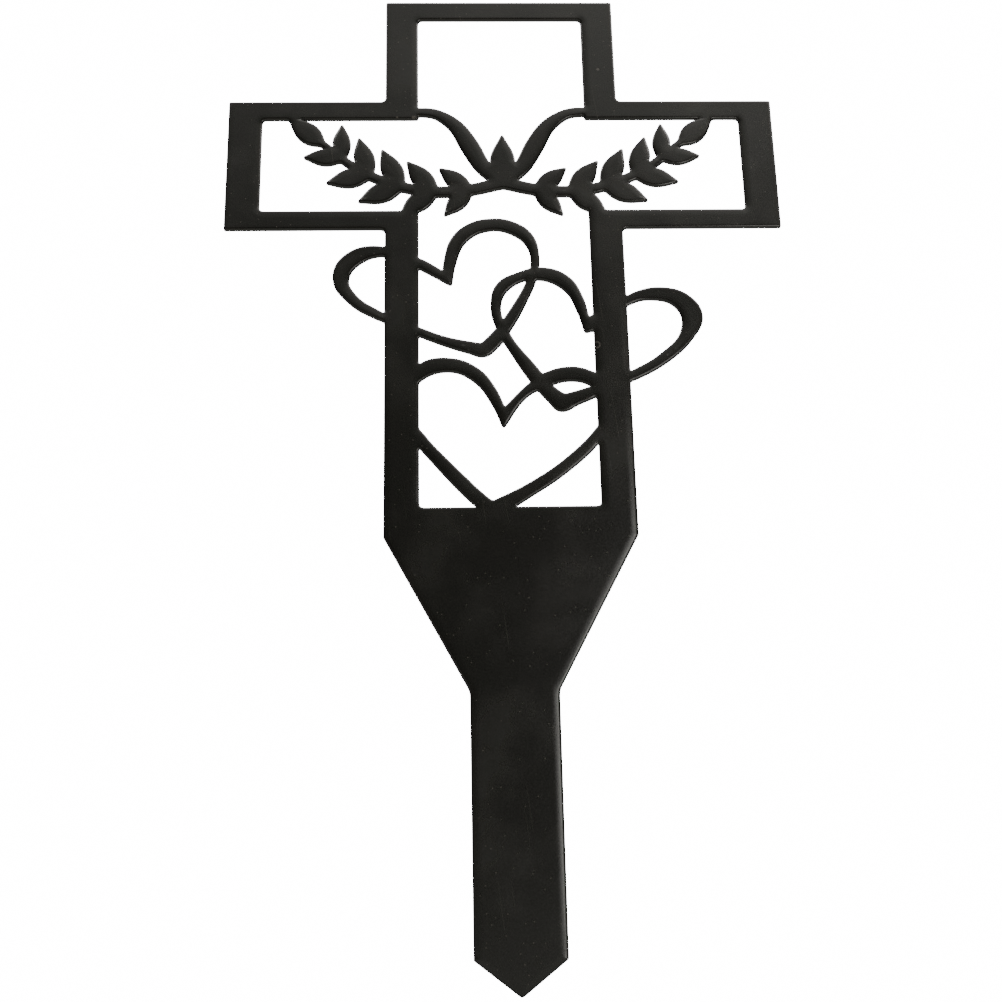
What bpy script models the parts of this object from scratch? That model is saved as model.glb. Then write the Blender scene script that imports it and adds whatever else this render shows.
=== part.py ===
"""Metal grave cross, cut from one steel plate: an open Latin cross on a spike.

Three open hearts and a leafy spray are cut out of the same plate and bridge the bars
of the cross. The drawing lies in the XY plane, in metres: X runs across the cross, Y
runs up it, and Y = 0 is the ground line, where the spike starts. The cut plate is
stood up at the end, with its back face at world Y = 0 and its front towards -Y.
"""

import math

import bmesh
import bpy
from mathutils import Matrix, Vector

MM = 0.001

# Driving dimensions of the plate
PLATE_THICKNESS = 2.0 * MM
UPRIGHT_WIDTH = 96.0 * MM
ARM_SPAN = 225.2 * MM
SPIKE_WIDTH = 32.7 * MM

# Widths of the bars left round the cross-shaped window
UPRIGHT_BAR = 13.4 * MM
ARM_END_BAR = 13.8 * MM
HEAD_BAR = 8.6 * MM
ARM_BAR = 8.3 * MM

# Heights above the ground line
HEAD_TOP = 295.4 * MM
ARM_TOP = 246.6 * MM
ARM_BOTTOM = 187.4 * MM
WINDOW_SILL = 69.8 * MM
SHOULDER = 58.4 * MM
SPIKE_END = -92.4 * MM
SPIKE_TIP = -104.85 * MM

# Rounding of the plate's own corners
CUT_RADIUS = 1.2 * MM
EDGE_RADIUS = 0.5 * MM
NECK_RADIUS = 3.0 * MM
TIP_RADIUS = 1.0 * MM

# How finely curves are divided
ARC_STEP = math.radians(30)
HEART_DIVISIONS = 6
LEAF_DIVISIONS = 6
STEM_DIVISIONS = 6
WELD_DISTANCE = 1e-6

# The leafy spray in millimetres, as (x, y, width) stations on its right-hand half
BRANCH = ((0, 208.5, 4.8), (17, 204.8, 4.4), (36, 205.5, 4.0), (57, 213.5, 3.4), (75, 228, 2.4))
SEPAL = ((36, 242, 3.4), (27, 240.8, 3.8), (19, 235, 5.6), (13.5, 226, 7.2), (8, 216, 6.2), (0, 208, 4.4))
LEAF_LENGTH = 20.0 * MM
LEAF_WIDTH = 8.2 * MM
LEAF_PAIRS = 5
FIRST_LEAF = 12.5 * MM
LEAF_SPACING = 14.0 * MM
LEAF_SIZES = (0.78, 0.24)
LEAF_BOW = 0.1
TIP_LEAF_SIZE = 1.05
BUD_FOOT = 207.0 * MM
BUD_SIZE = 1.2
UPPER_SPREAD = math.radians(46)
LOWER_SPREAD = math.radians(34)

# Finish
COAT_COLOUR = (0.022, 0.021, 0.018, 1.0)
COAT_ROUGHNESS = 0.42

SMOOTH = "AUTO"
SHARP = "VECTOR"


# Scene and collections


def clear_scene():
    for obj in list(bpy.data.objects):
        bpy.data.objects.remove(obj, do_unlink=True)


def new_collection(name, hidden=False):
    collection = bpy.data.collections.new(name)
    bpy.context.scene.collection.children.link(collection)
    collection.hide_render = hidden
    return collection


# Outlines


def fillet(corners):
    """A closed outline from (x, y, radius) corners, each cut by an arc of that radius."""
    outline = []
    for index, (x, y, radius) in enumerate(corners):
        corner = Vector((x, y))
        before = (Vector(corners[index - 1][:2]) - corner).normalized()
        after = (Vector(corners[(index + 1) % len(corners)][:2]) - corner).normalized()
        half = before.angle(after) / 2
        start = corner + before * (radius / math.tan(half))
        centre = corner + (before + after).normalized() * (radius / math.sin(half))
        turn = before.angle_signed(after)
        sweep = math.copysign(math.pi - abs(turn), turn)
        steps = max(2, math.ceil(abs(sweep) / ARC_STEP))
        for step in range(steps + 1):
            spoke = (start - centre).copy()
            spoke.rotate(Matrix.Rotation(sweep * step / steps, 2))
            outline.append(centre + spoke)
    return outline


def mirrored(corners):
    """A whole symmetric outline from the corners of its right half, top to bottom."""
    left = [(-x, y, radius) for x, y, radius in reversed(corners) if x > 0]
    return corners + left


def flat_curve(name, outlines, divisions):
    """A filled 2D curve of half the plate's thickness each way, one spline per outline.

    An outline's points are (x, y) for straight runs, or (x, y, handle) for a Bezier.
    """
    curve = bpy.data.curves.new(name, "CURVE")
    curve.dimensions = "2D"
    curve.fill_mode = "BOTH"
    curve.extrude = PLATE_THICKNESS / 2
    curve.resolution_u = divisions
    for outline in outlines:
        bent = len(outline[0]) == 3
        spline = curve.splines.new("BEZIER" if bent else "POLY")
        points = spline.bezier_points if bent else spline.points
        points.add(len(outline) - 1)
        for point, place in zip(points, outline):
            if bent:
                point.co = (place[0], place[1], 0)
                point.handle_left_type = point.handle_right_type = place[2]
            else:
                point.co = (place[0], place[1], 0, 1)
        spline.use_cyclic_u = True
    return curve


def plate_piece(name, outlines, collection, divisions=1):
    """A closed mesh object of the plate's thickness, cut to the outlines."""
    curve = flat_curve(name + "_outline", outlines, divisions)
    guide = bpy.data.objects.new(name + "_outline", curve)
    collection.objects.link(guide)
    bpy.context.view_layer.update()
    graph = bpy.context.evaluated_depsgraph_get()
    mesh = bpy.data.meshes.new_from_object(guide.evaluated_get(graph))
    mesh.name = name
    work = bmesh.new()
    work.from_mesh(mesh)
    bmesh.ops.remove_doubles(work, verts=work.verts, dist=WELD_DISTANCE)
    bmesh.ops.recalc_face_normals(work, faces=work.faces)
    work.to_mesh(mesh)
    work.free()
    piece = bpy.data.objects.new(name, mesh)
    piece.matrix_world = guide.matrix_world
    collection.objects.link(piece)
    bpy.data.objects.remove(guide, do_unlink=True)
    return piece


# The cross and its window


def cross_outline():
    return fillet(
        mirrored(
            [
                (UPRIGHT_WIDTH / 2, HEAD_TOP, EDGE_RADIUS),
                (UPRIGHT_WIDTH / 2, ARM_TOP, CUT_RADIUS),
                (ARM_SPAN / 2, ARM_TOP, EDGE_RADIUS),
                (ARM_SPAN / 2, ARM_BOTTOM, EDGE_RADIUS),
                (UPRIGHT_WIDTH / 2, ARM_BOTTOM, CUT_RADIUS),
                (UPRIGHT_WIDTH / 2, SHOULDER, EDGE_RADIUS),
                (SPIKE_WIDTH / 2, 0.0, NECK_RADIUS),
                (SPIKE_WIDTH / 2, SPIKE_END, EDGE_RADIUS),
                (0.0, SPIKE_TIP, TIP_RADIUS),
            ]
        )
    )


def window_outline():
    upright = UPRIGHT_WIDTH / 2 - UPRIGHT_BAR
    arm = ARM_SPAN / 2 - ARM_END_BAR
    return fillet(
        mirrored(
            [
                (upright, HEAD_TOP - HEAD_BAR, CUT_RADIUS),
                (upright, ARM_TOP - ARM_BAR, EDGE_RADIUS),
                (arm, ARM_TOP - ARM_BAR, CUT_RADIUS),
                (arm, ARM_BOTTOM + ARM_BAR, CUT_RADIUS),
                (upright, ARM_BOTTOM + ARM_BAR, EDGE_RADIUS),
                (upright, WINDOW_SILL, CUT_RADIUS),
            ]
        )
    )


# The hearts


def heart(name, outer, inner, collection):
    """An open heart: a band between two hand-drawn outlines, given in millimetres."""
    outlines = [[(x * MM, y * MM, kind) for x, y, kind in side] for side in (outer, inner)]
    return plate_piece(name, outlines, collection, HEART_DIVISIONS)


def left_heart(collection):
    """Tilted to the left, its left lobe standing out past the left upright."""
    outer = [
        (-24.8, 168.5, SHARP),
        (-24.0, 174.5, SMOOTH),
        (-21.4, 182.8, SMOOTH),
        (-15.5, 188.8, SMOOTH),
        (-6.0, 191.7, SMOOTH),
        (4.0, 190.2, SMOOTH),
        (11.2, 184.6, SMOOTH),
        (13.6, 175.5, SMOOTH),
        (12.6, 166.3, SMOOTH),
        (8.3, 155.4, SMOOTH),
        (1.2, 142.3, SMOOTH),
        (-4.0, 135.2, SMOOTH),
        (-8.7, 131.8, SMOOTH),
        (-15.0, 133.3, SMOOTH),
        (-34.5, 140.6, SMOOTH),
        (-50.0, 147.6, SMOOTH),
        (-62.3, 155.5, SMOOTH),
        (-68.4, 166.0, SMOOTH),
        (-62.8, 176.6, SMOOTH),
        (-47.5, 179.4, SMOOTH),
        (-34.5, 174.5, SMOOTH),
    ]
    inner = [
        (-21.5, 162.4, SHARP),
        (-19.6, 172.8, SMOOTH),
        (-15.6, 181.7, SMOOTH),
        (-6.5, 186.8, SMOOTH),
        (2.8, 185.3, SMOOTH),
        (9.3, 179.3, SMOOTH),
        (10.4, 170.0, SMOOTH),
        (7.6, 161.8, SMOOTH),
        (4.0, 155.2, SMOOTH),
        (-3.9, 143.5, SMOOTH),
        (-10.0, 136.9, SHARP),
        (-24.5, 140.1, SMOOTH),
        (-36.5, 145.1, SMOOTH),
        (-50.1, 151.4, SMOOTH),
        (-59.5, 158.4, SMOOTH),
        (-62.4, 165.4, SMOOTH),
        (-56.9, 173.1, SMOOTH),
        (-47.5, 175.5, SMOOTH),
        (-34.2, 169.8, SMOOTH),
    ]
    return heart("left_heart", outer, inner, collection)


def right_heart(collection):
    """Tilted to the right, linked with the left one, its right lobe past the upright."""
    outer = [
        (32.7, 148.0, SHARP),
        (30.5, 157.0, SMOOTH),
        (25.6, 165.4, SMOOTH),
        (15.5, 169.7, SMOOTH),
        (4.5, 167.4, SMOOTH),
        (-3.3, 162.7, SMOOTH),
        (-5.8, 153.0, SMOOTH),
        (-3.8, 143.9, SMOOTH),
        (2.7, 131.4, SMOOTH),
        (9.3, 120.8, SMOOTH),
        (15.9, 112.5, SMOOTH),
        (20.0, 108.6, SMOOTH),
        (28.0, 111.7, SMOOTH),
        (48.5, 120.8, SMOOTH),
        (62.6, 128.6, SMOOTH),
        (73.6, 139.0, SMOOTH),
        (77.8, 147.8, SMOOTH),
        (73.6, 156.4, SMOOTH),
        (62.0, 160.6, SMOOTH),
        (47.6, 157.0, SMOOTH),
    ]
    inner = [
        (31.1, 141.6, SHARP),
        (28.4, 150.9, SMOOTH),
        (23.5, 160.1, SMOOTH),
        (12.5, 164.9, SMOOTH),
        (2.0, 161.4, SMOOTH),
        (-2.1, 153.7, SMOOTH),
        (1.0, 141.6, SMOOTH),
        (11.0, 127.4, SMOOTH),
        (17.6, 118.8, SMOOTH),
        (22.0, 115.2, SHARP),
        (33.1, 118.6, SMOOTH),
        (48.6, 124.9, SMOOTH),
        (60.2, 131.8, SMOOTH),
        (69.3, 142.4, SMOOTH),
        (68.1, 151.8, SMOOTH),
        (57.5, 155.8, SMOOTH),
        (47.2, 152.5, SMOOTH),
        (37.5, 143.4, SMOOTH),
    ]
    return heart("right_heart", outer, inner, collection)


def low_heart(collection):
    """The largest one, below, with its sides in the uprights and its point in the sill."""
    outer = [
        (-1.4, 110.1, SHARP),
        (-5.4, 119.0, SMOOTH),
        (-11.0, 126.0, SMOOTH),
        (-22.0, 130.7, SMOOTH),
        (-35.0, 128.1, SMOOTH),
        (-44.0, 115.0, SMOOTH),
        (-40.0, 101.8, SMOOTH),
        (-30.0, 88.9, SMOOTH),
        (-14.2, 71.4, SMOOTH),
        (-6.0, 64.1, SHARP),
        (2.5, 70.5, SMOOTH),
        (21.0, 83.0, SMOOTH),
        (35.0, 95.7, SMOOTH),
        (44.0, 107.3, SMOOTH),
        (44.0, 119.0, SMOOTH),
        (34.0, 124.4, SMOOTH),
        (25.5, 126.7, SMOOTH),
        (14.0, 124.0, SMOOTH),
        (8.9, 120.4, SMOOTH),
    ]
    inner = [
        (-2.0, 101.8, SHARP),
        (-6.0, 111.4, SMOOTH),
        (-13.4, 121.5, SMOOTH),
        (-23.5, 125.5, SMOOTH),
        (-35.0, 120.6, SMOOTH),
        (-39.1, 112.0, SMOOTH),
        (-34.9, 102.6, SMOOTH),
        (-21.2, 86.2, SMOOTH),
        (-6.8, 72.0, SHARP),
        (7.6, 79.3, SMOOTH),
        (23.1, 90.2, SMOOTH),
        (35.2, 103.1, SMOOTH),
        (39.2, 111.1, SMOOTH),
        (33.1, 118.7, SMOOTH),
        (24.5, 121.2, SMOOTH),
        (14.0, 118.2, SMOOTH),
        (8.0, 115.2, SMOOTH),
    ]
    return heart("low_heart", outer, inner, collection)


# The leafy spray


def smooth_line(stations, side):
    """Points with widths on a smooth line through (x, y, width) stations, in metres."""
    knots = [Vector((side * x, y, width)) * MM for x, y, width in stations]
    knots = [knots[0] * 2 - knots[1]] + knots + [knots[-1] * 2 - knots[-2]]
    line = []
    for a, b, c, d in zip(knots, knots[1:], knots[2:], knots[3:]):
        for step in range(STEM_DIVISIONS):
            t = step / STEM_DIVISIONS
            bend = (b * 3 - a - c * 3 + d) * t**3 + (a * 2 - b * 5 + c * 4 - d) * t**2
            line.append(b + ((c - a) * t + bend) / 2)
    return line + [knots[-2]]


def heading_at(line, index):
    ahead = line[min(index + 1, len(line) - 1)] - line[max(index - 1, 0)]
    return ahead.to_2d().normalized()


def spot_along(line, distance):
    """Place and heading at a distance along the line from its first point."""
    for index, (start, end) in enumerate(zip(line, line[1:])):
        step = (end - start).to_2d().length
        if distance <= step:
            break
        distance -= step
    share = distance / step
    heading = heading_at(line, index).lerp(heading_at(line, index + 1), share)
    return start.lerp(end, share).to_2d(), heading.normalized()


def brush(name, line, collection):
    """A band as wide as the line says, with a short point at each end of the line."""
    sides = {1: [], -1: []}
    for index, point in enumerate(line):
        across = Vector((-heading_at(line, index).y, heading_at(line, index).x))
        for side, edge in sides.items():
            edge.append(point.to_2d() + across * side * point.z / 2)
    first, last = heading_at(line, 0), heading_at(line, len(line) - 1)
    cap = line[-1].to_2d() + last * line[-1].z / 2
    foot = line[0].to_2d() - first * line[0].z / 2
    outline = sides[1] + [cap] + sides[-1][::-1] + [foot]
    plate_piece(name, [[(spot.x, spot.y) for spot in outline]], collection)


def leaf(name, place, heading, bow, size, collection):
    """A pointed leaf from its foot at place, bowed sideways by a share of its width."""
    along = heading * LEAF_LENGTH * size
    across = Vector((-heading.y, heading.x)) * LEAF_WIDTH * size
    outline = [
        (place, SHARP),
        (place + along * 0.45 + across * (0.5 + bow), SMOOTH),
        (place + along, SHARP),
        (place + along * 0.45 - across * (0.5 - bow), SMOOTH),
    ]
    points = [(spot.x, spot.y, kind) for spot, kind in outline]
    plate_piece(name, [points], collection, LEAF_DIVISIONS)


def branch(name, side, collection):
    """One half of the spray: a tapering stem with leaves in pairs and one at its tip."""
    line = smooth_line(BRANCH, side)
    brush(name + "_stem", line, collection)
    for pair in range(LEAF_PAIRS):
        place, heading = spot_along(line, FIRST_LEAF + pair * LEAF_SPACING)
        smallest, swell = LEAF_SIZES
        size = smallest + swell * math.sin(math.pi * (pair + 0.5) / LEAF_PAIRS)
        for over, spread in ((1, UPPER_SPREAD), (-1, LOWER_SPREAD)):
            turned = heading.copy()
            turned.rotate(Matrix.Rotation(over * side * spread, 2))
            bow = -LEAF_BOW * over * side
            leaf(f"{name}_leaf_{pair}_{over}", place, turned, bow, size, collection)
    tip_heading = heading_at(line, len(line) - 1)
    leaf(name + "_leaf_tip", line[-2].to_2d(), tip_heading, 0, TIP_LEAF_SIZE, collection)


def spray(collection):
    for name, side in (("right", 1), ("left", -1)):
        branch(name + "_branch", side, collection)
        brush(name + "_sepal", smooth_line(SEPAL, side), collection)
    leaf("bud", Vector((0, BUD_FOOT)), Vector((0, 1)), 0, BUD_SIZE, collection)


# The finished plate


def black_coat():
    material = bpy.data.materials.new("black_coat")
    material.use_nodes = True
    shader = material.node_tree.nodes["Principled BSDF"]
    shader.inputs["Base Color"].default_value = COAT_COLOUR
    shader.inputs["Roughness"].default_value = COAT_ROUGHNESS
    shader.inputs["Metallic"].default_value = 0.0
    return material


def stand_up(mesh):
    """Turns the drawing's Y into world Z exactly, with the back face at world Y = 0."""
    upright = Matrix(((1, 0, 0, 0), (0, 0, -1, -PLATE_THICKNESS / 2), (0, 1, 0, 0), (0, 0, 0, 1)))
    mesh.transform(upright)


def build():
    clear_scene()
    cross = new_collection("metal_grave_cross")
    ornament = new_collection("ornament_pieces", hidden=True)
    plate = plate_piece("blank", [cross_outline(), window_outline()], ornament)
    ornament.objects.unlink(plate)
    cross.objects.link(plate)
    left_heart(ornament)
    right_heart(ornament)
    low_heart(ornament)
    spray(ornament)
    join = plate.modifiers.new("ornament", "BOOLEAN")
    join.operation = "UNION"
    join.operand_type = "COLLECTION"
    join.collection = ornament
    bpy.context.view_layer.update()
    graph = bpy.context.evaluated_depsgraph_get()
    mesh = bpy.data.meshes.new_from_object(plate.evaluated_get(graph))
    mesh.name = "cross_plate"
    stand_up(mesh)
    mesh.materials.clear()
    mesh.materials.append(black_coat())
    finished = bpy.data.objects.new("cross_plate", mesh)
    cross.objects.link(finished)
    bpy.data.objects.remove(plate, do_unlink=True)
    for piece in ornament.objects:
        piece.hide_render = True
        piece.display_type = "WIRE"


build()
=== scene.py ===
# %% [markdown]
# # A black steel grave cross
# The object is one flat plate of steel, cut to the outline of a cross on a ground spike, with hearts and
# a leafy spray bridging its bars. What makes the real one look real is not the outline, which the frame
# gives already, but its coat. Powder melts into a satin film that turns over in a small round at every
# cut edge and builds up a little along the strokes. So this script takes the outline from the frame's
# solid, lays a new surface over it with those edges, and then gives that surface the finish.

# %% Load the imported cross
import math
import bpy
from mathutils import Euler, Matrix, Vector
from mathutils.bvhtree import BVHTree
from mathutils.geometry import delaunay_2d_cdt


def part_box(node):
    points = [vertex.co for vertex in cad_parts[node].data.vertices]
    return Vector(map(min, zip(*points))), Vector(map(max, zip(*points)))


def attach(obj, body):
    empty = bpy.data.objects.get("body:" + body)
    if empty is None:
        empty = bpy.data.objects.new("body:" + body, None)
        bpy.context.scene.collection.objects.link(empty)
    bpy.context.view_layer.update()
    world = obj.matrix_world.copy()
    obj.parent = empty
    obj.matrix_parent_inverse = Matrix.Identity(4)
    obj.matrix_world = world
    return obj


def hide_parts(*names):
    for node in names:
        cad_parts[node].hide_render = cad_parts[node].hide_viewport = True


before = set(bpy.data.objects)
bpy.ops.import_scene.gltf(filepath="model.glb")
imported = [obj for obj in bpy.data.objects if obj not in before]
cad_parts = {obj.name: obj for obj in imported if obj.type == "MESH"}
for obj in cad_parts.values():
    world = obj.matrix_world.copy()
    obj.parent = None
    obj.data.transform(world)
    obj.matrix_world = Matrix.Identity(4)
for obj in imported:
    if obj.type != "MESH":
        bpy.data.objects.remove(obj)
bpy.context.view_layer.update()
MM = 0.001
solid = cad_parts["cross_plate"]
low_corner, high_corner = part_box("cross_plate")
plate_thickness = high_corner.y - low_corner.y
plate_height = high_corner.z - low_corner.z
print(f"the plate is {plate_thickness / MM:.1f} mm thick and {plate_height / MM:.1f} mm high")

# %% [markdown]
# ## The camera
# The picture was taken from low down and close: the camera stands level with the spike, about half a
# metre in front of the plate, and looks up, so the upright narrows towards its top. The place and the
# three angles come from solving the plate's own corners for perspective, and the lens is the normal one
# that goes with that distance. A camera that merely points at the middle of the plate would lose the
# converging sides.

# %% Place the camera
CAMERA_PLACE = Vector((-19.6, -491.8, -82.7)) * MM
LOOK_UP = math.radians(-17.53)
LOOK_ASIDE = math.radians(-1.78)
TILT = math.radians(-0.67)
CAMERA_LENS = 48.9
SENSOR_WIDTH = 36.0
NEAREST_SEEN = 10 * MM
# These two tables swap axes: the angles are about right, down and into the scene, as a picture counts them.
SCENE_TO_PICTURE = Matrix(((1, 0, 0), (0, 0, -1), (0, 1, 0)))
PICTURE_TO_CAMERA = Matrix(((1, 0, 0), (0, -1, 0), (0, 0, -1)))


def place_camera():
    """A camera at the photograph's viewpoint, with no shift and no depth of field."""
    data = bpy.data.cameras.new("camera")
    data.lens = CAMERA_LENS
    data.sensor_width = SENSOR_WIDTH
    data.clip_start = NEAREST_SEEN
    camera = bpy.data.objects.new("camera", data)
    bpy.context.scene.collection.objects.link(camera)
    turn = Euler((LOOK_UP, LOOK_ASIDE, TILT)).to_matrix()
    axes = (PICTURE_TO_CAMERA @ turn @ SCENE_TO_PICTURE).transposed()
    camera.matrix_world = Matrix.Translation(CAMERA_PLACE) @ axes.to_4x4()
    bpy.context.scene.camera = camera
    return camera


camera = place_camera()
in_front = -camera.matrix_world.translation.y / MM
print(f"the camera stands {in_front:.0f} mm in front and looks up {-math.degrees(LOOK_UP):.1f} degrees")

# %% [markdown]
# ## The outline
# The solid's front face is bounded by closed loops: one around the cross and one around every opening. An
# edge that belongs to a single triangle of that face is part of a loop, and following such edges from end
# to start gives the loops in order, always with the metal on the left. That is quicker and surer than
# drawing the hearts again, and it keeps the dressed plate exactly where the solid is.

# %% Trace the loops of the front face
GRID = 1e-6
FACING_FRONT = -0.99


def front_loops(mesh):
    """The closed loops around the front face, as lists of (x, z) vectors with the metal on the left."""
    sides = set()
    for face in mesh.polygons:
        if face.normal.y > FACING_FRONT:
            continue
        corners = [mesh.vertices[i].co for i in face.vertices]
        keys = [(round(corner.x / GRID), round(corner.z / GRID)) for corner in corners]
        sides.update(zip(keys, keys[1:] + keys[:1]))
    onward = {a: b for a, b in sorted(sides) if (b, a) not in sides}
    loops = []
    while onward:
        start = next(iter(onward))
        chain = [start]
        step = onward.pop(start)
        while step != start:
            chain.append(step)
            step = onward.pop(step)
        loops.append([Vector(key) * GRID for key in chain])
    return loops


loops = front_loops(solid.data)
print(f"the front face has {len(loops)} loops with {sum(map(len, loops))} corners")

# %% [markdown]
# ## A ribbon to measure from
# Everything about a coated edge depends on one number: how far a point lies from the nearest cut. A thin
# ribbon standing on the outline, kept in a search tree, answers that question exactly and fast, for bars,
# strokes and crossings alike.

# %% Stand a ribbon on an outline
RIBBON_HALF_HEIGHT = 1.0 * MM


def ribbon_tree(outlines):
    """A search tree over an upright ribbon along every loop of the outline."""
    places, faces = [], []
    for loop in outlines:
        first = len(places)
        for point in loop:
            places.append((point.x, point.y, -RIBBON_HALF_HEIGHT))
            places.append((point.x, point.y, RIBBON_HALF_HEIGHT))
        for i in range(len(loop)):
            a, b = first + 2 * i, first + 2 * ((i + 1) % len(loop))
            faces.append((a, b, b + 1, a + 1))
    return BVHTree.FromPolygons(places, faces)


def nearest_side(ribbon, point):
    """The number of the outline's side that is nearest to an (x, z) point, and how far away it is."""
    _, _, side, distance = ribbon.find_nearest((point.x, point.y, 0.0))
    return side, distance


# %% [markdown]
# ## Points along curves and runs
# The solid's hearts are many-sided, which is fine for weight and contact but would show as flats in a
# satin reflection. A Subdivision Surface modifier would round them, and would round the true corners as
# well. So the points of the outline are set here instead: each short side becomes a small cubic curve,
# and a straight side gets points that stand close together near its ends and far apart between.

# %% Set points along one side
SHORTEST_SIDE = 0.05 * MM
CURVE_STEP = 0.62 * MM
RUN_STEP = 2.4 * MM
CORNER_STEPS = (0.45 * MM, 0.95 * MM, 1.7 * MM)


def without_specks(loop):
    """The loop without sides too short to have a direction."""
    kept = []
    for point in loop:
        if not kept or (point - kept[-1]).length > SHORTEST_SIDE:
            kept.append(point)
    if (kept[0] - kept[-1]).length <= SHORTEST_SIDE:
        kept.pop()
    return kept


def straight_points(a, b):
    """Points from a up to b, close together near both ends and far apart between."""
    length = (b - a).length
    along = (b - a) / length
    near = [s for s in CORNER_STEPS if s < length / 2]
    middle = length - 2 * near[-1]
    count = max(1, round(middle / RUN_STEP))
    stops = [0.0] + near + [near[-1] + middle * k / count for k in range(1, count)]
    stops += [length - s for s in reversed(near)]
    return [a + along * s for s in stops]


def curved_points(a, b, leave, arrive):
    """Points on a cubic from a up to b that leaves and arrives in the given directions."""
    length = (b - a).length
    count = max(1, round(length / CURVE_STEP))
    points = []
    for k in range(count):
        t = k / count
        t2, t3 = t * t, t * t * t
        pull = leave * (t3 - 2 * t2 + t) + arrive * (t3 - t2)
        points.append(a * (2 * t3 - 3 * t2 + 1) + b * (3 * t2 - 2 * t3) + pull * length)
    return points


def eased(points):
    """The closed loop with each point drawn a little towards its neighbours."""
    before, after = points[-1:] + points[:-1], points[1:] + points[:1]
    return [(p + 2 * q + r) / 4 for p, q, r in zip(before, points, after)]


print(f"points stand {CURVE_STEP / MM:.2f} mm apart on curves and {RUN_STEP / MM:.1f} mm on straight runs")

# %% [markdown]
# ## The coat's own thickness
# The coat builds up by a few tenths of a millimetre along the curved strokes and fills their notches, and
# it adds less along the straight sides of the windows. The cross's straight outer sides get nothing, so
# that the plate keeps its size. A Solidify modifier would add the same everywhere and cross itself in the
# notches. Here a point that would come too near another stretch is dropped, which rounds a notch as
# powder does.

# %% Lay the coat on a loop
COAT_ON_CURVES = 0.32 * MM
COAT_IN_WINDOWS = 0.12 * MM
COAT_BUILDS_OVER = 3.0 * MM
KEPT_SHARE = 0.85


def coat_thickness(points, on_run, thinnest):
    """How much coat each point gets: the thinnest on a long run, growing to the full coat away from it."""
    count = len(points)
    away = [0.0 if run else COAT_BUILDS_OVER for run in on_run]
    for order in (range(2 * count), range(2 * count - 1, -1, -1)):
        step = 1 if order[0] == 0 else -1
        for i in order:
            here, before = i % count, (i - step) % count
            away[here] = min(away[here], away[before] + (points[here] - points[before]).length)
    return [thinnest + (COAT_ON_CURVES - thinnest) * a / COAT_BUILDS_OVER for a in away]


def laid_on(points, thickness):
    """The loop moved outwards by its coat. A point that would come too near another stretch is dropped."""
    count = len(points)
    bare = ribbon_tree([points])
    coated = []
    for i in range(count):
        along = points[(i + 1) % count] - points[i - 1]
        place = points[i] + Vector((along.y, -along.x)).normalized() * thickness[i]
        _, distance = nearest_side(bare, place)
        if distance >= thickness[i] * KEPT_SHARE:
            coated.append(place)
    return eased(coated)


print(f"the coat adds {COAT_ON_CURVES / MM:.2f} mm on curves and {COAT_IN_WINDOWS / MM:.2f} mm in windows")

# %% [markdown]
# ## Smooth curves, true corners
# At every corner of a loop the two sides either share one direction, which makes the line run on
# smoothly, or keep their own, which makes a true corner. Long runs keep their direction and pass it on to
# the curve that meets them. Two rounds of easing then take the last unevenness out.

# %% Turn the many-sided loops into smooth ones
LONG_RUN = 6.0 * MM
CORNER_TURN = math.radians(36)
EASING_ROUNDS = 2


def corner_directions(side, is_long):
    """For every corner of a loop, the directions in which the line arrives there and leaves it."""
    directions = []
    for i in range(len(side)):
        before, after = side[i - 1].normalized(), side[i].normalized()
        both_long = is_long[i - 1] and is_long[i]
        if both_long or abs(before.angle_signed(after)) > CORNER_TURN:
            directions.append((before, after))
        elif is_long[i - 1]:
            directions.append((before, before))
        elif is_long[i]:
            directions.append((after, after))
        else:
            shared = (before / side[i - 1].length + after / side[i].length).normalized()
            directions.append((shared, shared))
    return directions


def smooth_loop(loop, thinnest):
    """The coated loop as close points, round where it is round and straight where it is straight."""
    loop = without_specks(loop)
    count = len(loop)
    side = [loop[(i + 1) % count] - loop[i] for i in range(count)]
    is_long = [s.length > LONG_RUN for s in side]
    directions = corner_directions(side, is_long)
    points, on_run = [], []
    for i in range(count):
        a, b = loop[i], loop[(i + 1) % count]
        if is_long[i]:
            added = straight_points(a, b)
        else:
            added = curved_points(a, b, directions[i][1], directions[(i + 1) % count][0])
        points += added
        on_run += [is_long[i]] * len(added)
    for _ in range(EASING_ROUNDS):
        points = eased(points)
    return laid_on(points, coat_thickness(points, on_run, thinnest))


def width_of(loop):
    """How wide a loop is."""
    return max(p.x for p in loop) - min(p.x for p in loop)


outer = max(range(len(loops)), key=lambda k: width_of(loops[k]))
outlines = [smooth_loop(loop, 0.0 if k == outer else COAT_IN_WINDOWS) for k, loop in enumerate(loops)]
print(f"the smooth outline has {sum(map(len, outlines))} points")

# %% [markdown]
# ## How far in from the edge
# The ribbon on the finished outline now gives the distance from the cut for any point of the face. A
# Bevel modifier would be a simpler way to turn an edge over, but its width is limited by the shortest
# side of the whole mesh, and on strokes three millimetres wide it would all but vanish.

# %% Measure distances from the outline
edge_tree = ribbon_tree(outlines)


def edge_distance(point):
    """How far the (x, z) point lies from the nearest cut edge."""
    _, distance = nearest_side(edge_tree, point)
    return distance


print(f"at the ground line the middle lies {edge_distance(Vector((0.0, 0.0))) / MM:.1f} mm from a cut")

# %% [markdown]
# ## The edge in section
# Seen in section the front edge has two parts. Right at the cut the coat turns over in a small quarter of
# an ellipse. Further in, the face leans slightly towards the cut over its last three millimetres, and
# that lean is what catches a long soft highlight. The upright edges of the windows, the base and the
# spike have all of it and the windows' sills have some, while the other level edges and the outer edges
# higher up have only the small turn. A few rounds of averaging along the loop let the lean come and go
# gently.

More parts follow.
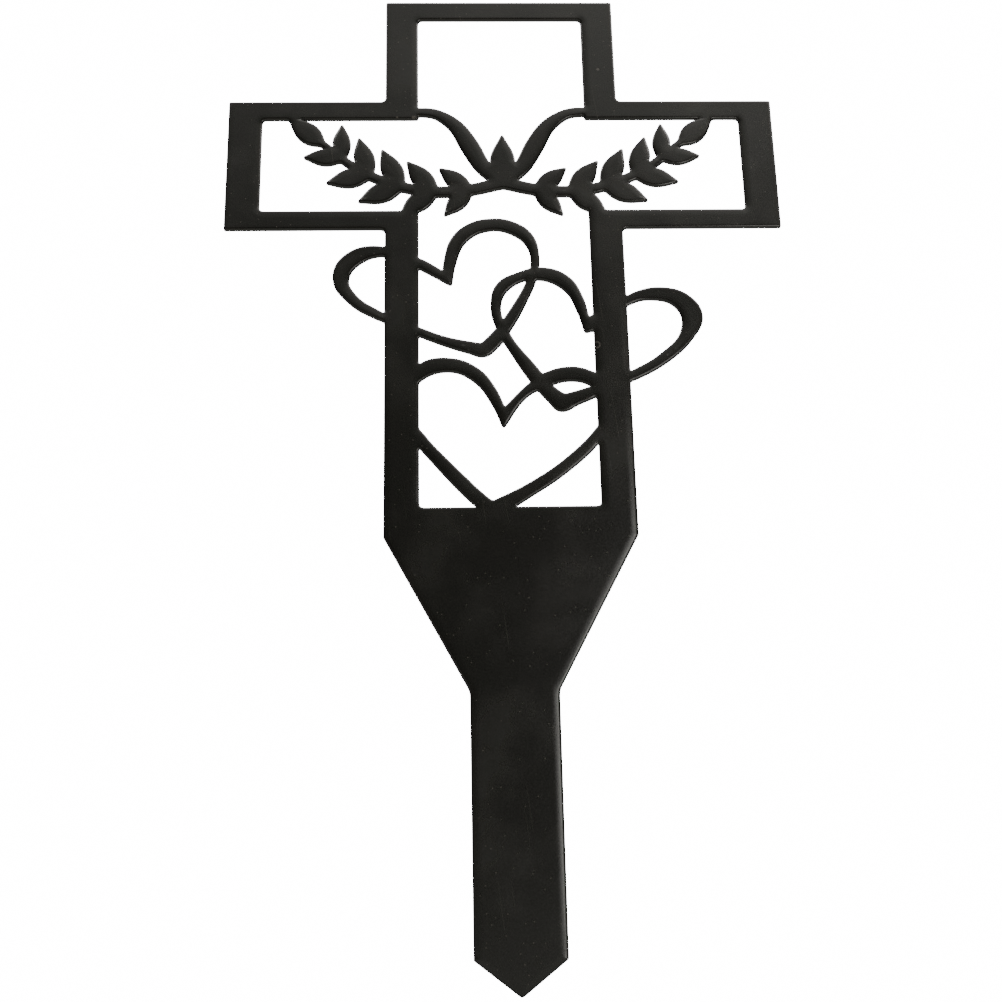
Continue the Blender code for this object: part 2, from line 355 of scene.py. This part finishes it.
# %% Describe the front and back edges
FRONT_ROLL = (0.7 * MM, 0.42 * MM)
BACK_ROLL = (0.5 * MM, 0.32 * MM)
LEAN_WIDTH = 3.0 * MM
LEAN_DEPTH = 0.30 * MM
LEAN_POWER = 1.5
SILL_LEAN = 0.4
LEAN_FADES_FROM = 90 * MM
LEAN_FADES_TO = 130 * MM
LEAN_BLENDING_ROUNDS = 4


def quarter_drop(distance, roll):
    """How far a quarter of an ellipse lies below the flat face at this distance from the cut."""
    width, depth = roll
    inward = max(0.0, 1.0 - distance / width)
    return depth * (1.0 - math.sqrt(1.0 - inward * inward))


def fade(value, start, end):
    """A smooth change from 1 at the start to 0 at the end."""
    t = min(1.0, max(0.0, (value - start) / (end - start)))
    return 1.0 - t * t * (3.0 - 2.0 * t)


def lean_shares(outlines):
    """For every side of the outline, how much of the lean it has, from 0 to 1."""
    shares = []
    for k, loop in enumerate(outlines):
        along = [(loop[(i + 1) % len(loop)] - loop[i]).normalized() for i in range(len(loop))]
        own = [way.y * way.y for way in along]
        if k == outer:
            own = [share * fade(point.y, LEAN_FADES_FROM, LEAN_FADES_TO) for share, point in zip(own, loop)]
        else:
            own = [share + SILL_LEAN * max(0.0, -way.x) ** 2 for share, way in zip(own, along)]
        for _ in range(LEAN_BLENDING_ROUNDS):
            own = [(own[i - 1] + own[i] + own[(i + 1) % len(own)]) / 3 for i in range(len(own))]
        shares += own
    return shares


side_shares = lean_shares(outlines)
print(f"the average side has {sum(side_shares) / len(side_shares):.2f} of the lean")


def front_drop(point):
    """How far the front lies below its flat face at this (x, z) point, and its distance from the cut."""
    side, distance = nearest_side(edge_tree, point)
    inward = max(0.0, 1.0 - distance / LEAN_WIDTH)
    lean = LEAN_DEPTH * side_shares[side] * inward ** LEAN_POWER
    return quarter_drop(distance, FRONT_ROLL) + lean, distance


def back_drop(point):
    """The same for the back, which has the small turn alone."""
    distance = edge_distance(point)
    return quarter_drop(distance, BACK_ROLL), distance


# %% [markdown]
# ## Rings of points
# A shape that bends only near the edge needs points only there. They are set in rings that follow the
# outline inwards, so that the shading runs along the edge in clean lines, and a ring simply stops where
# it would meet the one from the other side of a stroke. A regular grid would need far more points and
# still look stepped.

# %% Set points in rings
FRONT_RINGS = tuple(share * LEAN_WIDTH for share in (0.03, 0.09, 0.205, 0.4, 0.6, 0.8, 1.0, 1.2))
BACK_RINGS = (0.15 * MM, 0.5 * MM)
RING_TOLERANCE = 0.97
CLOSEST_POINTS = 0.16 * MM


def ring_points(outlines, rings):
    """Points in rings inside the outline, left out where two rings would meet."""
    taken = set()
    points = []
    for inset in rings:
        for loop in outlines:
            for i in range(len(loop)):
                along = loop[(i + 1) % len(loop)] - loop[i - 1]
                inward = Vector((-along.y, along.x)).normalized()
                point = loop[i] + inward * inset
                cell = (round(point.x / CLOSEST_POINTS), round(point.y / CLOSEST_POINTS))
                if cell in taken or edge_distance(point) < inset * RING_TOLERANCE:
                    continue
                taken.add(cell)
                points.append(point)
    return points


print(f"the last ring of the front lies {FRONT_RINGS[-1] / MM:.1f} mm in from the cut")

# %% [markdown]
# ## Filling the face
# A constrained triangulation joins all those points into triangles and keeps every side of the outline.
# It also fills the openings and the space around the cross, so a flood starts at the triangles that lie
# on the metal side of the outline and spreads without crossing it. What the flood doesn't reach is air.

# %% Triangulate the metal
EVERY_TRIANGLE = 0
SAME_PLACE = 1e-9


def flooded(faces, sides):
    """The faces on the left of the sides, and all that can be reached from them without crossing a side."""
    owner = {}
    for index, face in enumerate(faces):
        for a, b in zip(face, face[1:] + face[:1]):
            owner[(a, b)] = index
    cut = set(sides)
    waiting = [owner[side] for side in sides if side in owner]
    metal = set(waiting)
    while waiting:
        face = faces[waiting.pop()]
        for a, b in zip(face, face[1:] + face[:1]):
            beyond = owner.get((b, a))
            if (a, b) not in cut and beyond is not None and beyond not in metal:
                metal.add(beyond)
                waiting.append(beyond)
    return [faces[index] for index in sorted(metal)]


def metal_triangles(outlines, inner):
    """The triangles inside the outline, with the outline's points first in the list of points."""
    points = [point for loop in outlines for point in loop] + inner
    sides = []
    for loop in outlines:
        first = len(sides)
        sides += [(first + i, first + (i + 1) % len(loop)) for i in range(len(loop))]
    found = delaunay_2d_cdt(points, sides, [], EVERY_TRIANGLE, SAME_PLACE, True)
    places, _, triangles, came_from, _, _ = found
    number = {i: sources[0] for i, sources in enumerate(came_from) if sources}
    if len(places) != len(points) or len(number) != len(points):
        print(f"the outline touches itself: {len(points)} points went in and {len(places)} came out")
    faces = [tuple(number[i] for i in triangle) for triangle in triangles]
    return points, flooded(faces, sides)


# %% [markdown]
# ## One closed plate
# The front and the back are two such fillings that share the same outline, and the cut wall joins them
# side by side. The result is one closed surface. Each point also keeps its distance from the edge as an
# attribute, because the finish needs it later: hands and cloths rub a coat a little shinier near an edge.

# %% Build the coated plate
FRONT = low_corner.y
BACK = high_corner.y
RIM_ATTRIBUTE = "from_edge"


def face_sheet(outlines, rings, drop, flat, inwards):
    """Points and triangles of one side, sunk along the edge towards the middle of the plate."""
    points, faces = metal_triangles(outlines, ring_points(outlines, rings))
    places, distances = [], []
    for point in points:
        depth, distance = drop(point)
        places.append((point.x, flat + inwards * depth, point.y))
        distances.append(distance / MM)
    return places, faces, distances


def coated_plate():
    """The whole plate with its turned front edges, its cut walls and its slightly eased back."""
    front_places, front_faces, front_rim = face_sheet(outlines, FRONT_RINGS, front_drop, FRONT, 1)
    back_places, back_faces, back_rim = face_sheet(outlines, BACK_RINGS, back_drop, BACK, -1)
    shift = len(front_places)
    faces = list(front_faces)
    faces += [tuple(i + shift for i in reversed(face)) for face in back_faces]
    first = 0
    for loop in outlines:
        for i in range(len(loop)):
            a, b = first + i, first + (i + 1) % len(loop)
            faces.append((b, a, a + shift, b + shift))
        first += len(loop)
    mesh = bpy.data.meshes.new("coated_plate")
    mesh.from_pydata(front_places + back_places, [], faces)
    rim = mesh.attributes.new(RIM_ATTRIBUTE, "FLOAT", "POINT")
    rim.data.foreach_set("value", front_rim + back_rim)
    mesh.shade_smooth()
    plate = bpy.data.objects.new("coated_plate", mesh)
    bpy.context.scene.collection.objects.link(plate)
    return plate


plate = coated_plate()
triangle_count = sum(len(face.vertices) - 2 for face in plate.data.polygons)
print(f"the coated plate has {triangle_count} triangles")

# %% [markdown]
# ## Small helpers for nodes
# A finish is a network of shader nodes. A few helpers keep the rest short: they add a node with its
# settings, start a group with named inputs and outputs, do a sum, and map one range to another. Effects
# are built as groups, so that the finish itself reads as a list of what a painter would see.

# %% Add and join nodes


def add_node(tree, kind, settings=None, values=None):
    """A new node of this kind, with its settings and with the values of its unlinked inputs."""
    node = tree.nodes.new(kind)
    for name, value in (settings or {}).items():
        setattr(node, name, value)
    for name, value in (values or {}).items():
        node.inputs[name].default_value = value
    return node


def new_group(name, inputs, outputs):
    """An empty node group, with its input and output nodes."""
    tree = bpy.data.node_groups.new(name, "ShaderNodeTree")
    for label, kind, value in inputs:
        socket = tree.interface.new_socket(label, in_out="INPUT", socket_type=kind)
        if value is not None:
            socket.default_value = value
    for label, kind in outputs:
        tree.interface.new_socket(label, in_out="OUTPUT", socket_type=kind)
    return tree, tree.nodes.new("NodeGroupInput"), tree.nodes.new("NodeGroupOutput")


def math_node(tree, operation, first, second=None):
    """A Math node whose inputs are sockets or numbers; gives its output socket."""
    node = add_node(tree, "ShaderNodeMath", {"operation": operation})
    for index, value in enumerate((first, second)):
        if value is None:
            continue
        if isinstance(value, (int, float)):
            node.inputs[index].default_value = value
        else:
            tree.links.new(value, node.inputs[index])
    return node.outputs[0]


def ramp_range(tree, value, start, end, low=0.0, high=1.0):
    """The value mapped smoothly from start and end to low and high; gives the output socket."""
    node = add_node(tree, "ShaderNodeMapRange", {"interpolation_type": "SMOOTHSTEP"},
                    {"From Min": start, "From Max": end, "To Min": low, "To Max": high})
    tree.links.new(value, node.inputs["Value"])
    return node.outputs["Result"]


def noise_node(tree, place, values):
    """A Noise Texture at the place given by a socket."""
    node = add_node(tree, "ShaderNodeTexNoise", None, values)
    tree.links.new(place, node.inputs["Vector"])
    return node


# %% [markdown]
# ## Orange peel
# Powder never flows out quite flat. It sets in shallow waves about a millimetre across, with a finer
# grain on them, which breaks up a reflection without making it dull. Two layers of noise give that
# height. The waves are about a hundredth of a millimetre deep, so this is bump and not shape.

# %% Build the orange peel
WAVES = {"Detail": 1.0, "Roughness": 0.4}
GRAIN = {"Detail": 2.0, "Roughness": 0.6}
GRAIN_FINENESS = 3.7


def orange_peel_group():
    """Height of the set powder: broad waves with fine grain on them."""
    tree, given, made = new_group(
        "orange_peel",
        (("Wave Size", "NodeSocketFloat", 1.5), ("Grain Share", "NodeSocketFloat", 0.35)),
        (("Height", "NodeSocketFloat"),))
    place = add_node(tree, "ShaderNodeTexCoord").outputs["Object"]
    scale = math_node(tree, "DIVIDE", 1.0 / MM, given.outputs["Wave Size"])
    waves = noise_node(tree, place, WAVES)
    grain = noise_node(tree, place, GRAIN)
    tree.links.new(scale, waves.inputs["Scale"])
    tree.links.new(math_node(tree, "MULTIPLY", scale, GRAIN_FINENESS), grain.inputs["Scale"])
    share = math_node(tree, "MULTIPLY", grain.outputs["Fac"], given.outputs["Grain Share"])
    tree.links.new(math_node(tree, "ADD", waves.outputs["Fac"], share), made.inputs["Height"])
    return tree


orange_peel = orange_peel_group()
print(f"the orange peel takes {len(orange_peel.nodes)} nodes")

# %% [markdown]
# ## Nicks and rubbed places
# A handled plate has a few marks that catch the eye: a ring where something round pressed on it, small
# chips, a scuffed patch. Each is at a definite place, so one group draws a mark around a given centre, as
# a soft spot or as a ring, and the finish uses it several times. The limits are shares of the mark's
# radius.

# %% Build the mark
RAGGED_NOISE = {"Scale": 900.0, "Detail": 3.0, "Roughness": 0.7}
MIDDLE_OF_NOISE = 0.5
SPOT_FADES = (0.6, 1.0)
RING_STANDS_AT = 0.75
RING_FADES = (0.08, 0.25)


def mark_group():
    """A soft spot and a ring around a centre, both ragged by noise, as masks from 0 to 1."""
    tree, given, made = new_group(
        "mark",
        (("Centre", "NodeSocketVector", None), ("Radius", "NodeSocketFloat", 1.0),
         ("Ragged", "NodeSocketFloat", 0.3)),
        (("Spot", "NodeSocketFloat"), ("Ring", "NodeSocketFloat")))
    place = add_node(tree, "ShaderNodeTexCoord").outputs["Object"]
    apart = add_node(tree, "ShaderNodeVectorMath", {"operation": "DISTANCE"})
    tree.links.new(place, apart.inputs[0])
    tree.links.new(given.outputs["Centre"], apart.inputs[1])
    noise = noise_node(tree, place, RAGGED_NOISE)
    wobble = math_node(tree, "SUBTRACT", noise.outputs["Fac"], MIDDLE_OF_NOISE)
    wobble = math_node(tree, "MULTIPLY", wobble, given.outputs["Ragged"])
    away = math_node(tree, "DIVIDE", apart.outputs["Value"], given.outputs["Radius"])
    away = math_node(tree, "ADD", math_node(tree, "MULTIPLY", away, 1.0 / MM), wobble)
    tree.links.new(ramp_range(tree, away, *SPOT_FADES, 1.0, 0.0), made.inputs["Spot"])
    off_ring = math_node(tree, "ABSOLUTE", math_node(tree, "SUBTRACT", away, RING_STANDS_AT))
    tree.links.new(ramp_range(tree, off_ring, *RING_FADES, 1.0, 0.0), made.inputs["Ring"])
    return tree


mark = mark_group()
print(f"a mark takes {len(mark.nodes)} nodes")

# %% [markdown]
# ## Hairline scratches, smudges and specks
# Sliding past other plates leaves hairlines, nearly all along the upright, hands leave broad patches that
# are a little shinier or duller, and dust leaves specks. Noise stretched some eighty times in height
# makes the hairlines, large soft noise makes the patches, and the middles of small cells make the specks.

# %% Build the handling marks
HAIRLINE_STRETCH = (1.0, 1.0, 0.012)
HAIRLINES = {"Detail": 2.0, "Roughness": 0.5}
HAIRLINE_SCALE = 200.0
HAIRLINE_FADES = (0.70, 0.78)
SMUDGES = {"Scale": 28.0, "Detail": 4.0, "Roughness": 0.55}
SMUDGE_FADES = (0.42, 0.68)
SPECKS = {"Scale": 330.0, "Randomness": 1.0}
SPECK_FADES = (0.05, 0.12)


def handling_group():
    """Hairlines along the plate's height, broad smudges and specks of dust, as masks from 0 to 1."""
    tree, given, made = new_group(
        "handling",
        (("Lean", "NodeSocketFloat", 0.2), ("Hairline Width", "NodeSocketFloat", 0.1)),
        (("Hairlines", "NodeSocketFloat"), ("Smudges", "NodeSocketFloat"), ("Specks", "NodeSocketFloat")))
    place = add_node(tree, "ShaderNodeTexCoord").outputs["Object"]
    turned = add_node(tree, "ShaderNodeVectorRotate", {"rotation_type": "Y_AXIS"})
    tree.links.new(place, turned.inputs["Vector"])
    tree.links.new(given.outputs["Lean"], turned.inputs["Angle"])
    stretched = add_node(tree, "ShaderNodeVectorMath", {"operation": "MULTIPLY"})
    stretched.inputs[1].default_value = HAIRLINE_STRETCH
    tree.links.new(turned.outputs["Vector"], stretched.inputs[0])
    lines = noise_node(tree, stretched.outputs["Vector"], HAIRLINES)
    scale = math_node(tree, "DIVIDE", HAIRLINE_SCALE, given.outputs["Hairline Width"])
    tree.links.new(scale, lines.inputs["Scale"])
    tree.links.new(ramp_range(tree, lines.outputs["Fac"], *HAIRLINE_FADES), made.inputs["Hairlines"])
    broad = noise_node(tree, place, SMUDGES)
    tree.links.new(ramp_range(tree, broad.outputs["Fac"], *SMUDGE_FADES), made.inputs["Smudges"])
    dots = add_node(tree, "ShaderNodeTexVoronoi", None, SPECKS)
    tree.links.new(place, dots.inputs["Vector"])
    specks = ramp_range(tree, dots.outputs["Distance"], *SPECK_FADES, 1.0, 0.0)
    tree.links.new(specks, made.inputs["Specks"])
    return tree


handling = handling_group()
print(f"the handling marks take {len(handling.nodes)} nodes")

# %% [markdown]
# ## The black satin coat
# The coat is a warm, slightly green black, not a neutral one. Its gloss is satin and changes a little
# from place to place. The base colour and the roughness come from the groups above, and the peel, the
# hairlines and the marks share one bump. Where the coat is nicked or scuffed it shows as the same pale
# grey as dust.

# %% Choose the coat's values
COAT_DARK = (0.0085, 0.0085, 0.0068, 1.0)
COAT_LIGHT = (0.0125, 0.0122, 0.0100, 1.0)
DUST = (0.10, 0.092, 0.08, 1.0)
COAT_ROUGHNESS = 0.23
SMUDGE_ROUGHNESS = 0.06
RUBBED_ROUGHNESS = -0.05
RUBBED_EDGE_MM = (0.2, 2.6)
SPECK_DUST = 0.5
HAIRLINE_DUST = 0.25
HAIRLINE_DEPTH = -0.2
MARK_DUST = 0.6
MARK_DEPTH = 0.8
PEEL = {"Wave Size": 1.5, "Grain Share": 0.4}
HANDLING = {"Lean": 0.12, "Hairline Width": 0.12}
BUMP = {"Strength": 0.3, "Distance": 0.03 * MM}
# Each mark has a name, its centre and radius in millimetres, how ragged it is, and which mask it uses.
MARKS = (
    ("ring_on_upright", (35.3, -2.0, 136.0), 1.7, 0.25, "Ring"),
    ("nick_at_head", (41.0, -2.0, 262.0), 0.8, 0.6, "Spot"),
    ("scuff_at_corner", (-36.4, -2.0, 238.9), 1.0, 0.9, "Spot"),
    ("nick_by_corner", (-43.2, -2.0, 239.0), 0.6, 0.6, "Spot"),
)
print("marks of handling:", ", ".join(name for name, *_ in MARKS))

# %% Mix the finish
# A Mix node has sockets for numbers, vectors and colours at once, and these are the places of the colours.
COLOUR_A = 6
COLOUR_B = 7
MIXED_COLOUR = 2


def mix_colours(tree, factor, first, second):
    """A colour mixed from two colours or sockets by the factor; gives the output socket."""
    node = add_node(tree, "ShaderNodeMix", {"data_type": "RGBA"})
    tree.links.new(factor, node.inputs["Factor"])
    for socket, value in ((node.inputs[COLOUR_A], first), (node.inputs[COLOUR_B], second)):
        if isinstance(value, tuple):
            socket.default_value = value
        else:
            tree.links.new(value, socket)
    return node.outputs[MIXED_COLOUR]


def satin_coat():
    """The black satin powder coat, with its peel, handling marks and nicks."""
    material = bpy.data.materials.new("black_satin_coat")
    material.use_nodes = True
    tree = material.node_tree
    shader = tree.nodes["Principled BSDF"]
    peel = add_node(tree, "ShaderNodeGroup", {"node_tree": orange_peel}, PEEL)
    marks = add_node(tree, "ShaderNodeGroup", {"node_tree": handling}, HANDLING)
    rim = add_node(tree, "ShaderNodeAttribute", {"attribute_name": RIM_ATTRIBUTE})
    colour = mix_colours(tree, marks.outputs["Smudges"], COAT_DARK, COAT_LIGHT)
    dusty = math_node(tree, "MULTIPLY", marks.outputs["Specks"], SPECK_DUST)
    colour = mix_colours(tree, dusty, colour, DUST)
    lines = math_node(tree, "MULTIPLY", marks.outputs["Hairlines"], HAIRLINE_DUST)
    colour = mix_colours(tree, lines, colour, DUST)
    dents = math_node(tree, "MULTIPLY", marks.outputs["Hairlines"], HAIRLINE_DEPTH)
    for name, centre, radius, ragged, kind in MARKS:
        node = add_node(tree, "ShaderNodeGroup", {"node_tree": mark, "label": name},
                        {"Centre": Vector(centre) * MM, "Radius": radius, "Ragged": ragged})
        pale = math_node(tree, "MULTIPLY", node.outputs[kind], MARK_DUST)
        colour = mix_colours(tree, pale, colour, DUST)
        depth = math_node(tree, "MULTIPLY", node.outputs[kind], MARK_DEPTH)
        dents = math_node(tree, "SUBTRACT", dents, depth)
    tree.links.new(colour, shader.inputs["Base Color"])
    rubbed = ramp_range(tree, rim.outputs["Fac"], *RUBBED_EDGE_MM, RUBBED_ROUGHNESS, 0.0)
    patchy = math_node(tree, "MULTIPLY", marks.outputs["Smudges"], SMUDGE_ROUGHNESS)
    rough = math_node(tree, "ADD", math_node(tree, "ADD", patchy, rubbed), COAT_ROUGHNESS)
    tree.links.new(rough, shader.inputs["Roughness"])
    bump = add_node(tree, "ShaderNodeBump", None, BUMP)
    tree.links.new(math_node(tree, "ADD", peel.outputs["Height"], dents), bump.inputs["Height"])
    tree.links.new(bump.outputs["Normal"], shader.inputs["Normal"])
    return material


plate.data.materials.append(satin_coat())
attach(plate, "root")
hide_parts("cross_plate")
print("the plate wears its coat, with", len(MARKS), "marks of handling")

# %% [markdown]
# ## White all around
# The picture's background is bare white, with no horizon and no shadow. The floor and the sky here are
# white only to the camera. To the plate they are a dim studio, so that what it reflects comes from the
# lamps and from a soft glow high up, stronger on the right. A black satin thing is lit by its
# reflections, and a real white room would turn it grey.

# %% Make the floor
FLOOR_GAP = 1.5 * MM
FLOOR_SIZE = 12.0
FLOOR_GREY = (0.42, 0.42, 0.41, 1.0)
FLOOR_ROUGHNESS = 0.8
WHITE = {"Color": (1.0, 1.0, 1.0, 1.0), "Strength": 16.0}
# Both inputs of a Mix Shader node are called Shader, so they are found by their places.
SHADER_AT_ZERO = 1
SHADER_AT_ONE = 2


def show_to_camera(tree, seen, otherwise, output):
    """Give the camera's rays one shader and all other rays another."""
    path = add_node(tree, "ShaderNodeLightPath")
    mix = add_node(tree, "ShaderNodeMixShader")
    tree.links.new(path.outputs["Is Camera Ray"], mix.inputs["Fac"])
    tree.links.new(otherwise, mix.inputs[SHADER_AT_ZERO])
    tree.links.new(seen, mix.inputs[SHADER_AT_ONE])
    tree.links.new(mix.outputs["Shader"], output.inputs["Surface"])


def white_floor():
    """A floor just under the spike's tip: white to the camera, grey to the plate."""
    bpy.ops.mesh.primitive_plane_add(size=FLOOR_SIZE, location=(0, 0, low_corner.z - FLOOR_GAP))
    floor = bpy.context.object
    floor.name = "floor"
    material = bpy.data.materials.new("white_floor")
    material.use_nodes = True
    tree = material.node_tree
    shader = tree.nodes["Principled BSDF"]
    shader.inputs["Base Color"].default_value = FLOOR_GREY
    shader.inputs["Roughness"].default_value = FLOOR_ROUGHNESS
    white = add_node(tree, "ShaderNodeEmission", None, WHITE)
    output = tree.nodes["Material Output"]
    show_to_camera(tree, white.outputs["Emission"], shader.outputs["BSDF"], output)
    floor.data.materials.append(material)
    return floor


floor = white_floor()
print(f"the floor lies at {floor.location.z / MM:.1f} mm, just under the tip")

# %% Make the surroundings
STUDIO_TINT = (1.0, 0.985, 0.93, 1.0)
DIM = 0.065
HIGH_GLOW = 1.8
HIGH_RANGE = (0.34, 0.95)
RIGHT_GAIN = 0.8
RIGHT_RANGE = (-0.45, 0.45)


def white_surroundings():
    """A world that is white to the camera, and to all else a dim studio, brighter high up and right."""
    world = bpy.data.worlds.new("studio")
    bpy.context.scene.world = world
    world.use_nodes = True
    tree = world.node_tree
    way = add_node(tree, "ShaderNodeTexCoord")
    parts = add_node(tree, "ShaderNodeSeparateXYZ")
    tree.links.new(way.outputs["Generated"], parts.inputs[0])
    high = ramp_range(tree, parts.outputs["Z"], *HIGH_RANGE, 0.0, HIGH_GLOW)
    right = ramp_range(tree, parts.outputs["X"], *RIGHT_RANGE, 1.0 - RIGHT_GAIN, 1.0 + RIGHT_GAIN)
    glow = math_node(tree, "ADD", math_node(tree, "MULTIPLY", high, right), DIM)
    studio = tree.nodes["Background"]
    studio.inputs["Color"].default_value = STUDIO_TINT
    tree.links.new(glow, studio.inputs["Strength"])
    white = add_node(tree, "ShaderNodeBackground", None, WHITE)
    output = tree.nodes["World Output"]
    show_to_camera(tree, white.outputs["Background"], studio.outputs["Background"], output)
    return world


world = white_surroundings()
print(f"the surroundings are called {world.name}, and only the camera sees them white")

# %% [markdown]
# ## The lamps
# The plate is brightest at its top and on its right, and that broad shine comes from the glow of the
# surroundings. Every edge that faces right has a soft bright line as well. A tall lamp low on the right
# draws it on the base and the spike, and a square one high on the right draws it on the head. A second
# square one, high on the left, gives the head's left-facing edges their own line. Nothing hangs low on
# the left, which is why the edges there stay dark.

# %% Hang the lamps
# Each lamp has a name, its place, its width and height, its power in watts, and its colour.
LAMPS = (
    ("right_low", (0.50, -1.24, 0.12), (0.28, 0.7), 3.2, (1.0, 0.98, 0.94)),
    ("right_high", (0.80, -0.90, 1.20), (0.35, 0.35), 3.6, (1.0, 0.97, 0.93)),
    ("left_high", (-0.62, -0.80, 1.25), (0.35, 0.35), 4.0, (1.0, 0.98, 0.95)),
)
LAMP_TARGET = Vector((0.0, 0.0, 0.1))


def hang_lamp(name, place, size, power, colour):
    """A soft rectangular lamp that faces the middle of the plate."""
    data = bpy.data.lights.new(name, "AREA")
    data.shape = "RECTANGLE"
    data.size, data.size_y = size
    data.energy = power
    data.color = colour
    lamp = bpy.data.objects.new(name, data)
    bpy.context.scene.collection.objects.link(lamp)
    lamp.location = place
    lamp.rotation_euler = (LAMP_TARGET - lamp.location).to_track_quat("-Z", "Y").to_euler()
    return lamp


lamps = [hang_lamp(*lamp) for lamp in LAMPS]
print("lamps:", ", ".join(lamp.name for lamp in lamps))
